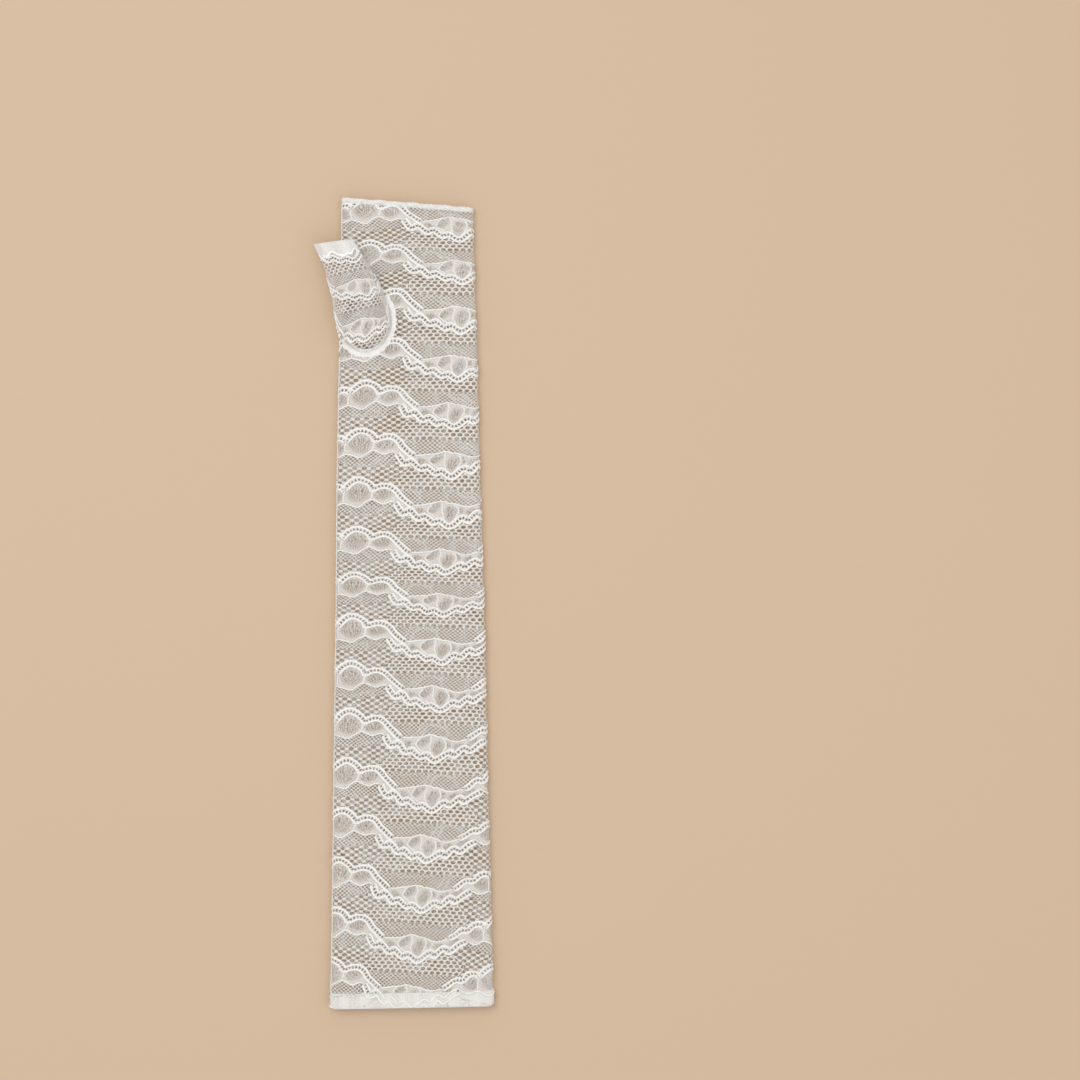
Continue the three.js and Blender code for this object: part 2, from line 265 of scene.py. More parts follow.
# How wide a repeat is drawn and how steeply its rows fall, down the sleeve
STRETCH = table(
    "down wide fall",
    (241, 1.05, 0.000), (284, 1.11, 0.000), (380, 1.06, 0.000), (428, 1.07, 0.000),
    (600, 1.055, 0.020), (785, 1.02, 0.040), (860, 1.01, 0.048), (1007, 0.965, 0.048),
)

# The same lace on the thumb, smaller and tilted, in millimetres
THUMB_TILT = math.radians(14)
THUMB_TROUGH = 13.0
THUMB_PITCH = 39 * CHART
THUMB_WIDE = 0.85
THUMB_BANDS = range(-2, 3)
THUMB_PERIODS = range(-1, 2)
THUMB_SHIFT = table("level shift", (-12, 0), (13, 8))
THUMB_REACH = 60.0
THUMB_LEVELS = (20.0, 45.0)


def spline(points):
    """A smooth line through every point."""
    p = np.array(points, float)
    p = np.vstack([2 * p[0] - p[1], p, 2 * p[-1] - p[-2]])
    t = np.linspace(0, 1, SPAN_STEPS, endpoint=False)[:, None]
    spans = []
    for a, b, c, d in zip(p, p[1:], p[2:], p[3:]):
        bend = (2 * a - 5 * b + 4 * c - d) * t**2 + (3 * b - a - 3 * c + d) * t**3
        spans.append(0.5 * (2 * b + (c - a) * t + bend))
    spans.append(p[-2:-1])
    return np.vstack(spans)


def paced(line, step):
    """The same line with even steps of about this size."""
    run = np.concatenate([[0], np.cumsum(np.linalg.norm(np.diff(line, axis=0), axis=1))])
    at = np.linspace(0, run[-1], max(1, round(run[-1] / step)) + 1)
    return np.column_stack([np.interp(at, run, line[:, i]) for i in range(line.shape[1])])


def across(line):
    """Unit vectors square to a flat line."""
    ahead = np.gradient(line, axis=0)
    ahead /= np.linalg.norm(ahead, axis=1, keepdims=True)
    return np.column_stack([-ahead[:, 1], ahead[:, 0]])


def outline(*rows):
    """A function that gives one height for each u, round the whole repeat."""
    line = np.vstack([spline(row) for row in rows])

    def height(u):
        return np.interp(u, line[:, 0], line[:, 1], period=PERIOD)

    return height


def ramp(distance, fade):
    """0 before a place, rising to 1 past it."""
    return np.clip(distance / fade, 0, 1)


def ladder_margin(u, first, last):
    """The room for half a row of eyelets between two places, closing at both."""
    u = (u - first) % PERIOD + first
    return LADDER * ramp(np.minimum(u - first, last - u), MARGIN_FADE)


top_line = outline(LEFT_ARCHES, WING_TOPS, RIGHT_ARCHES)
low_line = outline(LOWER_LADDER, PETAL_HEMS)


def top_margin(u):
    return ladder_margin(u, RIGHT_ARCHES[0][0], WING_TOPS[0][0] + PERIOD)


def low_margin(u):
    return ladder_margin(u, LOWER_LADDER[0][0], LOWER_LADDER[-1][0])


def net_start(u):
    return low_line(u) + low_margin(u)


def net_end(u):
    return top_line(u) + PITCH - top_margin(u)


def petal_net_start(u):
    fine_end = np.interp(u, PETAL_FINE_END["u"], PETAL_FINE_END["v"], period=PERIOD)
    return np.minimum(np.maximum(fine_end, net_start(u)), net_end(u))


def trough_net_end(u):
    return np.minimum(np.interp(u, TROUGH_FINE_START["u"], TROUGH_FINE_START["v"]), net_end(u))


def trough_left(v):
    return np.interp(v, TROUGH_LEFT["v"], TROUGH_LEFT["u"])


def trough_right(v):
    return np.interp(v, TROUGH_RIGHT["v"], TROUGH_RIGHT["u"])


def far_left(v):
    return np.full_like(v, -FAR)


def far_right(v):
    return np.full_like(v, FAR)


def gathered(parts):
    """Several sets of points and faces as one."""
    points, faces, count = [], [], 0
    for part_points, part_faces in parts:
        points.append(part_points)
        faces.append(part_faces + count)
        count += len(part_points)
    return np.vstack(points), np.vstack(faces)


def tube_faces(rows, columns):
    """The faces between rows of corners that each close on themselves."""
    index = np.arange(rows * columns).reshape(rows, columns)
    turned = np.roll(index, -1, axis=1)
    return np.stack([index[:-1], index[1:], turned[1:], turned[:-1]], axis=-1).reshape(-1, 4)


class Swatch:
    """Faces on the chart. Each corner has u, v, rise, tone, sheer and fan; tone is painted light and
    shade, higher where the yarn stands out.
    """

    def __init__(self):
        self.parts = []

    def add(self, points, faces):
        """Takes in corners, and faces that count from the first of them."""
        self.parts.append((points.reshape(-1, 6), faces.reshape(-1, 4)))

    def rings(self, rings):
        """Cells of rings one inside the other: cells, rings, corners, 6."""
        cells, depth, corners, _ = rings.shape
        index = np.arange(cells * depth * corners).reshape(cells, depth, corners)
        turned = np.roll(index, -1, axis=2)
        faces = np.stack([index[:, :-1], turned[:, :-1], turned[:, 1:], index[:, 1:]], axis=-1)
        self.add(rings, faces)

    def cord(self, line, half_width, half_height, rise, tone):
        """A round thread along a line of u, v."""
        line = paced(line, CORD_STEP)
        square = across(line)
        angle = np.arange(CORD_SIDES) * 2 * math.pi / CORD_SIDES - math.pi / 2
        full = np.ones((len(line), 1))
        full[[0, -1]] = CORD_TIP
        ring = np.zeros((len(line), CORD_SIDES, 6))
        ring[:, :, :2] = line[:, None] + square[:, None] * (full * half_width * np.cos(angle))[..., None]
        ring[:, :, 2] = rise + full * half_height * np.sin(angle)
        ring[:, :, 3] = tone
        ring[:, :, 5] = np.arange(len(line))[:, None] * CORD_STEP * 2 * math.pi / PLY + angle
        self.add(ring, tube_faces(len(line), CORD_SIDES))

    def grid(self, points):
        """A sheet of rows and columns of corners."""
        rows, columns, _ = points.shape
        index = np.arange(rows * columns).reshape(rows, columns)
        faces = np.stack([index[:-1, :-1], index[:-1, 1:], index[1:, 1:], index[1:, :-1]], axis=-1)
        self.add(points, faces)


# Eight corners round a hole, the cell round it, and which of the cell's corners carry a dot
OCTAGON = np.arange(8) * math.pi / 4
DIAMOND = np.array(((1, 0), (0.5, 0.5), (0, 1), (-0.5, 0.5), (-1, 0), (-0.5, -0.5), (0, -1), (0.5, -0.5)))
DOT = np.array((1, 0, 1, 0, 1, 0, 1, 0))


def net(swatch, kind, low_v, high_v, low_u, high_u):
    """A staggered net that fills a region of the chart between four lines."""
    yarn = NETS[kind]
    width, height = yarn["cell"]
    row, column = np.meshgrid(np.arange(-60, 60), np.arange(-40, 40), indexing="ij")
    centre = np.stack([(column + 0.5 * (row % 2)) * width, row * height], axis=-1).reshape(-1, 2)
    centre = centre[(centre[:, 0] >= CHART_LEFT) & (centre[:, 0] < CHART_LEFT + PERIOD)]
    outer = centre[:, None] + DIAMOND * (width / 2, height)
    corner = np.where(np.arange(8) % 2, yarn["square"] / math.cos(math.pi / 4), 1)[:, None]
    hole = centre[:, None] + corner * np.column_stack([np.cos(OCTAGON), np.sin(OCTAGON)]) * yarn["hole"]
    layers = [outer, hole]
    if len(yarn["rises"]) == 3:
        layers.insert(1, outer * 0.45 + hole * 0.55)
    flat = np.stack(layers, axis=1)
    u = flat[..., 0]
    v = flat[..., 1]
    inside = (v > low_v(u)) & (v < high_v(u)) & (u > low_u(v)) & (u < high_u(v))
    kept = inside.reshape(len(flat), -1).any(axis=1)
    u = np.clip(u[kept], low_u(v[kept]), high_u(v[kept]))
    v = np.clip(v[kept], low_v(u), np.maximum(high_v(u), low_v(u)))
    cells = np.zeros(u.shape + (6,))
    cells[..., 0] = u
    cells[..., 1] = v
    cells[..., 2] = np.array(yarn["rises"])[None, :, None]
    cells[..., 3] = np.array(yarn["tones"])[None, :, None]
    if yarn["dot"]:
        cells[:, 0, :, 2] += yarn["dot"] * DOT
        cells[:, 0, :, 3] += (1 - yarn["tones"][0]) * DOT
    swatch.rings(cells)


def ladder(swatch, row):
    """A row of eyelets with a cord on either side."""
    line = paced(spline(row), EYELET_STEP)
    middle = (line[1:] + line[:-1]) / 2
    ahead = line[1:] - line[:-1]
    square = np.column_stack([-ahead[:, 1], ahead[:, 0]])
    length = np.linalg.norm(square, axis=1, keepdims=True)
    square /= length
    ahead /= length
    side = across(line) * LADDER
    start, end = line[:-1], line[1:]
    outer = np.stack([
        end, end + side[1:], middle + square * LADDER, start + side[:-1],
        start, start - side[:-1], middle - square * LADDER, end - side[1:],
    ], axis=1)
    hole = (middle[:, None] + ahead[:, None] * (EYELET[0] * np.cos(OCTAGON))[None, :, None]
            + square[:, None] * (EYELET[1] * np.sin(OCTAGON))[None, :, None])
    cells = np.zeros((len(middle), 2, 8, 6))
    cells[:, 0, :, :2] = outer
    cells[:, 1, :, :2] = hole
    cells[..., 2] = np.array(EYELET_RISES)[None, :, None]
    cells[..., 3] = np.array(EYELET_TONES)[None, :, None]
    swatch.rings(cells)


def cloth(swatch):
    """The close cloth of the petals and wings, thin in places."""
    u = np.linspace(CHART_LEFT, CHART_LEFT + PERIOD, CLOTH_COLUMNS)
    share = np.linspace(0, 1, CLOTH_ROWS)[:, None]
    top = top_line(u) + top_margin(u)
    low = np.maximum(low_line(u) - low_margin(u), top)
    points = np.zeros((len(share), len(u), 6))
    points[..., 0] = u
    points[..., 1] = top + (low - top) * share
    points[..., 2] = CLOTH_RISE
    points[..., 3] = CLOTH_TONE
    for middle_u, middle_v, reach_u, reach_v, tilt in zip(*SHEER.values()):
        east = points[..., 0] - middle_u
        south = points[..., 1] - middle_v
        turn = math.radians(tilt)
        off_u = east * math.cos(turn) + south * math.sin(turn)
        off_v = south * math.cos(turn) - east * math.sin(turn)
        far = np.sqrt((off_u / reach_u) ** 2 + (off_v / reach_v) ** 2)
        points[..., 4] = np.maximum(points[..., 4], ramp(SHEER_END - far, SHEER_FADE))
        centre = reach_v * FAN_CENTRE
        fan = np.arctan2(off_u, centre - off_v) * centre
        points[..., 5] = np.where(far < FAN_END, fan, points[..., 5])
    swatch.grid(points)


def offset(row, distance):
    """The smooth line through a row, moved sideways."""
    line = spline(row)
    return line + across(line) * distance


def charted():
    """The four parts of the lace: fine net, open nets, cords, cloth."""
    fine = Swatch()
    net(fine, "fine", net_start, petal_net_start, far_left, far_right)
    net(fine, "fine", trough_net_end, net_end, trough_left, trough_right)

    coarse = Swatch()
    net(coarse, "brick", net_start, trough_net_end, trough_left, trough_right)
    net(coarse, "dotted", petal_net_start, net_end, far_left, trough_left)
    net(coarse, "dotted", petal_net_start, net_end, trough_right, far_right)

    cords = Swatch()
    for line in (LOWER_LADDER, LEFT_ARCHES, RIGHT_ARCHES):
        for side in (-LADDER, LADDER):
            cords.cord(offset(line, side), **CORDS["ladder"])
    for line in (PETAL_HEMS, WING_TOPS):
        cords.cord(spline(line), **CORDS["edge"])
    for line in (*DIVIDERS, *VEINS):
        cords.cord(spline(line), **CORDS["vein"])

    close = Swatch()
    for line in (LOWER_LADDER, LEFT_ARCHES, RIGHT_ARCHES):
        ladder(close, line)
    cloth(close)
    return fine, coarse, cords, close


def sleeve_size(along):
    """Middle, half the flat part, fold radius and crown of the flat tube."""
    middle = DRIFT * np.interp(along, SLEEVE["along"], SLEEVE["drift"])
    widening = np.interp(along, SLEEVE["along"], SLEEVE["widening"])
    half_width = (PALM_WIDTH + (ARM_WIDTH - PALM_WIDTH) * widening) / 2
    height = PALM_HEIGHT + (ARM_HEIGHT - PALM_HEIGHT) * along
    radius = height * FOLD_SHARE
    return middle, half_width - radius, radius, height - 2 * radius


def sleeve_section(arc, along):
    """Where an arc length round the tube lies, from the middle of the palm, and which way is out."""
    middle, flat, radius, crown = sleeve_size(along)
    bend = radius - CLOTH / 2
    half_turn = math.pi * bend
    level = radius + CLOTH / 2
    right = (arc - flat) / bend
    left = (-arc - flat) / bend
    under = arc - flat - half_turn
    last = (under - 2 * flat) / bend
    places = [arc < -flat, arc <= flat, arc <= flat + half_turn, arc <= 3 * flat + half_turn]
    x = np.select(places, [
        -flat - bend * np.sin(left), arc, flat + bend * np.sin(right), flat - under,
    ], -flat - bend * np.sin(last))
    z = np.select(places, [
        level + bend * np.cos(left), 2 * radius + crown * (1 - (arc / flat) ** 2),
        level + bend * np.cos(right), np.full_like(arc, CLOTH),
    ], level - bend * np.cos(last))
    out_x = np.select(places, [-np.sin(left), 0 * arc, np.sin(right), 0 * arc], -np.sin(last))
    out_z = np.select(places, [np.cos(left), 0 * arc + 1, np.cos(right), 0 * arc - 1], -np.cos(last))
    return x + middle, z, out_x, out_z, x / (flat + radius)


def edges(side):
    """The finger edge and the arm edge, as y."""
    share = (1 + side) / 2
    return LENGTH / 2 - FINGER_SLANT * share, -LENGTH / 2 + ARM_SLANT * share


def settle(arc, y):
    """The share along the sleeve, and the side, of a place on the cloth."""
    along = np.clip(0.5 - y / LENGTH, 0, 1)
    for _ in range(2):
        side = sleeve_section(arc, along)[4]
        finger_edge, arm_edge = edges(side)
        along = np.clip((finger_edge - y) / (finger_edge - arm_edge), 0, 1)
    return along, side


def ripple(arc, y):
    """The shallow waves of the cloth."""
    return 0.12 * np.sin(y * 0.21 + 2 * np.sin(arc * 0.07)) * np.sin(arc * 0.16 + 1.3)


def sleeve_point(arc, y, rise):
    """A place on the cloth, with its rise above it, as a point."""
    along = settle(arc, y)[0]
    x, z, out_x, out_z, _ = sleeve_section(arc, along)
    lift = rise + ripple(arc, y)
    return np.column_stack([x + out_x * lift, y, np.maximum(z + out_z * lift, FLOOR_GAP)])


def seam_arcs(along):
    """Where the cloth's two cut edges meet on the thumb side fold."""
    _, flat, radius, _ = sleeve_size(along)
    quarter = math.pi * (radius - CLOTH / 2) / 2
    return -flat - quarter, 3 * flat + 3 * quarter


def straying(u, down):
    """How far real lace strays from its chart, to the right and upwards."""
    sway = 0.5 * np.sin(down * 0.17 - u * 0.04 + 1) + 0.3 * np.sin(down * 0.37 + u * 0.11)
    waver = 0.5 * np.sin(down * 0.13 + u * 0.05) + 0.3 * np.sin(u * 0.19 - down * 0.31)
    return sway, waver


def chart_to_sleeve(u, v, band):
    """Arc length and y of a place on the chart."""
    level = band + v / PITCH
    start_x = np.interp(level, LOW_POINTS["band"], LOW_POINTS["right"])
    start_y = np.interp(level, LOW_POINTS["band"], LOW_POINTS["down"])
    wide = np.interp(start_y, STRETCH["down"], STRETCH["wide"])
    fall = np.interp(start_y, STRETCH["down"], STRETCH["fall"])
    sway, waver = straying(u, start_y)
    y = (CHART_MIDDLE[1] - start_y - fall * u * wide - waver) * CHART
    middle = sleeve_size(np.clip(0.5 - y / LENGTH, 0, 1))[0]
    arc = (start_x - CHART_MIDDLE[0] + u * wide + sway) * CHART - middle
    return arc, y


# Where the middle of the thumb's root lies
root_along = THUMB_FROM_FINGERS / LENGTH
root_middle, root_flat, root_radius, _ = sleeve_size(root_along)
ROOT_X = root_middle - root_flat - root_radius + THUMB_FROM_FOLD
root_edges = edges(THUMB_FROM_FOLD / (root_flat + root_radius) - 1)
ROOT_Y = root_edges[0] + (root_edges[1] - root_edges[0]) * root_along


def lace_limits(side):
    """The lace runs from just under the arm hem to just under the finger hem."""
    finger_edge, arm_edge = edges(side)
    return arm_edge + ARM_HEM - HEM_OVERLAP, finger_edge - FINGER_HEM + HEM_OVERLAP


def arm_hem_limits(side):
    """The lace that shows through the arm hem stays just inside it."""
    arm_edge = edges(side)[1]
    return arm_edge + ARM_HEM_MARGINS[0], arm_edge + ARM_HEM - ARM_HEM_MARGINS[1]


def under_thumb(arc, y):
    """1 where the thumb lies on the palm, falling to 0 beside it."""
    middle = sleeve_size(np.clip(0.5 - y / LENGTH, 0, 1))[0]
    past = np.clip((y - ROOT_Y) / THUMB_LENGTH, 0, 1)
    off = np.abs(arc + middle - ROOT_X + THUMB_LEAN * past)
    beside = ramp(THUMB_WIDTH / 2 + PRESS_BESIDE[0] - off, PRESS_BESIDE[1])
    heel = ramp(y - ROOT_Y - PRESS_HEEL[0], PRESS_HEEL[1])
    tip = ramp(ROOT_Y + THUMB_LENGTH + PRESS_TIP[0] - y, PRESS_TIP[1])
    on_palm = np.abs(arc) < THUMB_WIDTH * 3
    return beside * (heel * tip) * on_palm


def trim_sleeve(points, faces, limits, with_thumb_hole):
    """Keeps what lies within the limits, off the seam and outside the thumb hole."""
    arc = points[:, 0]
    y = points[:, 1]
    along, side = settle(arc, y)
    low, top = limits(side)
    left, right = seam_arcs(along)
    middle = sleeve_size(along)[0]
    off_x = (arc + middle - ROOT_X) / (ROOT_WIDTH / 2)
    off_y = (y - ROOT_Y) / (ROOT_LENGTH / 2)
    far = np.hypot(off_x, off_y)
    beyond = np.maximum.reduce([y - top, low - y, left - arc, arc - right])
    if with_thumb_hole:
        beyond = np.maximum(beyond, (1 - far) * HOLE_REACH)
    faces = faces[beyond[faces].mean(axis=1) < 0]
    if with_thumb_hole:
        push = np.maximum(1 / np.maximum(far, 1e-6), 1)
        arc = np.where(far < 1, ROOT_X - middle + off_x * push * ROOT_WIDTH / 2, arc)
        y = np.where(far < 1, ROOT_Y + off_y * push * ROOT_LENGTH / 2, y)
    points[:, 0] = np.clip(arc, left, right)
    points[:, 1] = np.clip(y, low, top)
    return points, faces


def mesh_object(name, points, faces, extra, material, uv=None):
    """A mesh of triangles: corners that meet are joined and empty faces left out."""
    keys, first, where = np.unique(
        np.round(points * JOINED).astype(np.int64), axis=0, return_index=True, return_inverse=True)
    corners = where.ravel()[faces]
    if corners.shape[1] == 4:
        corners = np.vstack([corners[:, (0, 1, 2)], corners[:, (0, 2, 3)]])
    points = points[first]
    a, b, c = (points[corners[:, i]] for i in range(3))
    area = np.linalg.norm(np.cross(b - a, c - a), axis=1) / 2
    corners = corners[area > EMPTY]
    used, index = np.unique(corners, return_inverse=True)
    corners = index.reshape(-1, 3)
    points = points[used] * MM
    mesh = bpy.data.meshes.new(name)
    mesh.vertices.add(len(points))
    mesh.vertices.foreach_set("co", (points + SHIFT).ravel())
    mesh.loops.add(corners.size)
    mesh.loops.foreach_set("vertex_index", corners.ravel())
    mesh.polygons.add(len(corners))
    mesh.polygons.foreach_set("loop_start", np.arange(0, corners.size, 3))
    for column, title in enumerate(("tone", "sheer", "fan")):
        values = mesh.attributes.new(title, "FLOAT", "POINT")
        values.data.foreach_set("value", extra[first][used][:, column])
    if uv is not None:
        layer = mesh.uv_layers.new(name="OFBake")
        layer.data.foreach_set("uv", uv[first][used][corners.ravel()].ravel())
    mesh.update(calc_edges=True)
    mesh.validate()
    mesh.shade_smooth()
    mesh.materials.append(material)
    item = bpy.data.objects.new(name, mesh)
    bpy.context.scene.collection.objects.link(item)
    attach(item, "root")
    return item


def unit(values):
    """The same values, spread from 0 to 1."""
    low = values.min()
    return (values - low) / max(values.max() - low, 1e-6)


def sleeve_lace(name, swatch, material, limits=lace_limits, extra_rise=0.0, bands=BANDS):
    """The swatch, laid in every band and repeat round the sleeve."""
    chart, faces = gathered(swatch.parts)
    parts = []
    for band in bands:
        for repeat in PERIODS:
            arc, y = chart_to_sleeve(chart[:, 0] + repeat * PERIOD, chart[:, 1], band)
            points = np.column_stack([arc, y, chart[:, 2] + extra_rise, chart[:, 3:]])
            parts.append(trim_sleeve(points, faces, limits, limits is lace_limits))
    points, faces = gathered(parts)
    pressed = 1 - PRESS * under_thumb(points[:, 0], points[:, 1])
    solid = sleeve_point(points[:, 0], points[:, 1], points[:, 2] * pressed)
    uv = np.column_stack([unit(points[:, 0]), unit(points[:, 1])])
    flat = points[faces, :2]
    one, two = flat[:, 2] - flat[:, 0], flat[:, 3] - flat[:, 1]
    area = np.abs(one[:, 0] * two[:, 1] - one[:, 1] * two[:, 0]).sum() / 2 * MM**2
    return mesh_object(name, solid, faces, points[:, 3:], material, uv), area


def smooth_column(column, position):
    """A smooth value between the rows of the thumb's table."""
    row = np.minimum(np.floor(position).astype(int), END_ROW - 1)
    t = position - row
    value = [THUMB[column][np.clip(row + step, 0, END_ROW)] for step in (-1, 0, 1, 2)]
    slope_in = (value[2] - value[0]) / 2
    slope_out = (value[3] - value[1]) / 2
    return ((2 * t**3 - 3 * t**2 + 1) * value[1] + (t**3 - 2 * t**2 + t) * slope_in
            + (3 * t**2 - 2 * t**3) * value[2] + (t**3 - t**2) * slope_out)


def soft_power(value):
    """Squares a round section a little."""
    return np.sign(value) * np.abs(value) ** SQUARENESS


def palm_top(x, y):
    """How high the thumb's underside lies: on the palm, and sagging past the fold."""
    along = np.clip(0.5 - y / LENGTH, 0, 1)
    middle, flat, radius, crown = sleeve_size(along)
    past = np.maximum(-(x - middle) - flat, 0)
    inside = np.clip((x - middle) / flat, -1, 1)
    return 2 * radius + crown * (1 - inside**2) - THUMB_SAG * past**2 / (past + SAG_START)


def thumb_surface(position, angle):
    """A point of the thumb's cloth: position counts rings, angle runs from its upper middle."""
    lean, low, top, turn, swell, narrow, height, seat = (smooth_column(name, position) for name in THUMB)
    half_width = (ROOT_WIDTH * swell * (1 - narrow) + THUMB_WIDTH * narrow) / 2
    lateral = half_width * soft_power(np.sin(angle))
    upness = (1 + soft_power(np.cos(angle))) / 2
    forward = (low - top) * THUMB_LENGTH * (0.5 - upness)
    tilt = np.radians(THUMB_TURN) * turn
    x = ROOT_X - THUMB_LEAN * lean + np.cos(tilt) * lateral - np.sin(tilt) * forward
    y = ROOT_Y + (low + top) / 2 * THUMB_LENGTH + np.sin(tilt) * lateral + np.cos(tilt) * forward
    z = palm_top(x, y) + CLEARANCE * (1 + seat) + THUMB_HEIGHT * height * upness
    return np.stack([x, y, z], axis=-1)


# The thumb as a grid, with the way round it, the level along it and the way out at each place
ring_position, ring_angle = np.meshgrid(
    np.linspace(0, END_ROW, RINGS), np.linspace(-math.pi, math.pi, TURNS), indexing="ij")
thumb_grid = thumb_surface(ring_position, ring_angle)
ring_gap = np.linalg.norm(np.diff(thumb_grid, axis=1), axis=2)
ring_run = np.concatenate([np.zeros((RINGS, 1)), np.cumsum(ring_gap, axis=1)], axis=1)
thumb_arc = ring_run - ring_run[:, TURNS // 2:TURNS // 2 + 1]
thumb_level = ((thumb_grid[..., 1] - ROOT_Y) * math.cos(THUMB_TILT)
               - (thumb_grid[..., 0] - ROOT_X) * math.sin(THUMB_TILT))
thumb_level = np.maximum.accumulate(thumb_level + np.linspace(0, 1e-3, RINGS)[:, None], axis=0)
step_round = np.gradient(thumb_grid, axis=1)
step_along = np.gradient(thumb_grid, axis=0)
thumb_out = np.cross(step_round, step_along)
thumb_out /= np.maximum(np.linalg.norm(thumb_out, axis=2, keepdims=True), 1e-9)


def pick(grid, row, column):
    """A value between the rows and columns of the thumb's table."""
    r = np.clip(np.floor(row).astype(int), 0, RINGS - 2)
    c = np.clip(np.floor(column).astype(int), 0, TURNS - 2)
    s = row - r
    t = column - c
    if grid.ndim == 3:
        s = s[:, None]
        t = t[:, None]
    return ((grid[r, c] * (1 - t) + grid[r, c + 1] * t) * (1 - s)
            + (grid[r + 1, c] * (1 - t) + grid[r + 1, c + 1] * t) * s)


def between(values, wanted):
    """For each line of rising values, the fractional index of the wanted one; outside it runs on."""
    last = values.shape[1] - 1
    index = np.clip((values < wanted[:, None]).sum(axis=1) - 1, 0, last - 1)
    line = np.arange(len(values))
    low = values[line, index]
    high = values[line, index + 1]
    return index + (wanted - low) / np.maximum(high - low, 1e-6)


def find_on_thumb(arc, level):
    """Row and column of the thumb's table for a place of the lace."""
    column = np.full(len(arc), (TURNS - 1) / 2)
    for _ in range(SEARCH_STEPS):
        c = np.clip(np.floor(column).astype(int), 0, TURNS - 2)
        t = np.clip(column - c, 0, 1)[:, None]
        levels = thumb_level[:, c].T * (1 - t) + thumb_level[:, c + 1].T * t
        row = between(levels, level)
        r = np.clip(np.floor(row).astype(int), 0, RINGS - 2)
        s = np.clip(row - r, 0, 1)[:, None]
        arcs = thumb_arc[r] * (1 - s) + thumb_arc[r + 1] * s
        column = between(arcs, arc)
    return row, column


def thumb_lace(name, swatch, material):
    """The swatch, laid in every band round the thumb."""
    chart, faces = gathered(swatch.parts)
    last_ring = HEM_ROW * ROWS_TO_RING
    parts = []
    for band in THUMB_BANDS:
        for repeat in THUMB_PERIODS:
            u = (chart[:, 0] + repeat * PERIOD) * THUMB_WIDE * CHART
            level = THUMB_TROUGH - band * THUMB_PITCH - chart[:, 1] * THUMB_PITCH / PITCH
            u += np.interp(level, THUMB_SHIFT["level"], THUMB_SHIFT["shift"])
            near_u = np.abs(u[faces]).min(axis=1) < THUMB_REACH
            near_level = np.abs(level[faces] - THUMB_LEVELS[0]).min(axis=1) < THUMB_LEVELS[1]
            used, index = np.unique(faces[near_u & near_level], return_inverse=True)
            if len(used) == 0:
                continue
            row, column = find_on_thumb(u[used], level[used])
            corner = index.reshape(-1, 4)
            beyond = np.maximum.reduce([-row, row - last_ring, -column, column - (TURNS - 1)])
            corner = corner[beyond[corner].mean(axis=1) < 0]
            row = np.clip(row, 0, last_ring)
            column = np.clip(column, 0, TURNS - 1)
            out = pick(thumb_out, row, column)
            pressed = 1 - PRESS * np.clip(-2 * out[:, 2:], 0, 1)
            solid = pick(thumb_grid, row, column) + out * chart[used, 2][:, None] * pressed
            parts.append((np.column_stack([solid, chart[used, 3:], column / TURNS, row / RINGS]), corner))
    points, faces = gathered(parts)
    return mesh_object(name, points[:, :3], faces, points[:, 3:6], material, points[:, 6:8])


def profile(half_width, half_height, count, squareness=1.0):
    """A rounded section: across the path, and out of the cloth."""
    angle = np.arange(count) * 2 * math.pi / count
    return np.column_stack([
        half_width * np.sign(np.cos(angle)) * np.abs(np.cos(angle)) ** squareness,
        half_height * np.sign(np.sin(angle)) * np.abs(np.sin(angle)) ** squareness,
    ])


def sweep(path, section, rise, tone, relief=None, square=None):
    """A section carried along a path on the flat cloth, square to it or to a given way across.

    Thin ones are twisted like yarn.
    """
    square = across(path) if square is None else np.tile(square, (len(path), 1))
    run = np.concatenate([[0], np.cumsum(np.linalg.norm(np.diff(path, axis=0), axis=1))])[:, None]
    points = np.zeros((len(path), len(section), 6))
    points[..., :2] = path[:, None] + square[:, None] * section[None, :, :1]
    bulge = relief(run, section[None, :, 0]) * (section[None, :, 1] > 0) if relief else 0
    points[..., 2] = rise + section[None, :, 1] + bulge
    # Painted highlight and painted shade: the yarn is painted lighter where it bulges out and darker in
    # its grooves
    points[..., 3] = tone + bulge
    if np.abs(section).max() < 0.5:
        turn = np.arctan2(section[:, 1], section[:, 0])
        turn = np.where(turn < -math.pi / 2, turn + 2 * math.pi, turn)
        points[..., 5] = run * 2 * math.pi / HEM_PLY + turn
    return points.reshape(-1, 6), tube_faces(len(path), len(section))


def on_sleeve(name, parts, material):
    """Swept parts, laid on the sleeve as one piece."""
    points, faces = gathered(parts)
    solid = sleeve_point(points[:, 0], points[:, 1], points[:, 2])
    uv = np.column_stack([unit(points[:, 0]), unit(points[:, 1])])
    return mesh_object(name, solid, faces, points[:, 3:], material, uv)


def round_sleeve(edge, distance, step):
    """A path round the sleeve at a distance from its finger edge (0) or its arm edge (1)."""
    left, right = seam_arcs(edge)
    arc = np.linspace(left, right, round((right - left) / step))
    side = settle(arc, np.full_like(arc, LENGTH / 2 * (1 - 2 * edge)))[1]
    corner = CORNER_TURN * ramp(np.abs(side) - CORNER_START, 0.07) ** 2 * edge
    return np.column_stack([arc, edges(side)[edge] - (distance + corner) * (1 - 2 * edge)])


def rolled_stitches(run, off):
    """Slanting wraps of thread over a rolled edge, a little uneven; the same values also paint the wraps
    lighter and the gaps darker, as painted highlight and painted shade.
    """
    wraps = 0.2 * np.sin(2 * math.pi * (run + 0.6 * off) / 1.6)
    return wraps + 0.2 * np.sin(run * 0.9) * np.sin(run * 0.37 + off)


def soft_folds(run, off):
    """The gentle waves of a doubled hem, with a stitch line along its upper edge; the same values also
    paint the crests lighter and the troughs and stitch line darker, as painted shade.
    """
    waves = 0.13 * np.sin(run * 0.55 + 1.5 * np.sin(run * 0.11)) * (1 - (off / 6) ** 2)
    groove = -0.3 * np.exp(-((off - 3.4) / 0.45) ** 2)
    return waves + groove + 0.05 * np.sin(run * 4.1) * np.sin(off * 3.3)


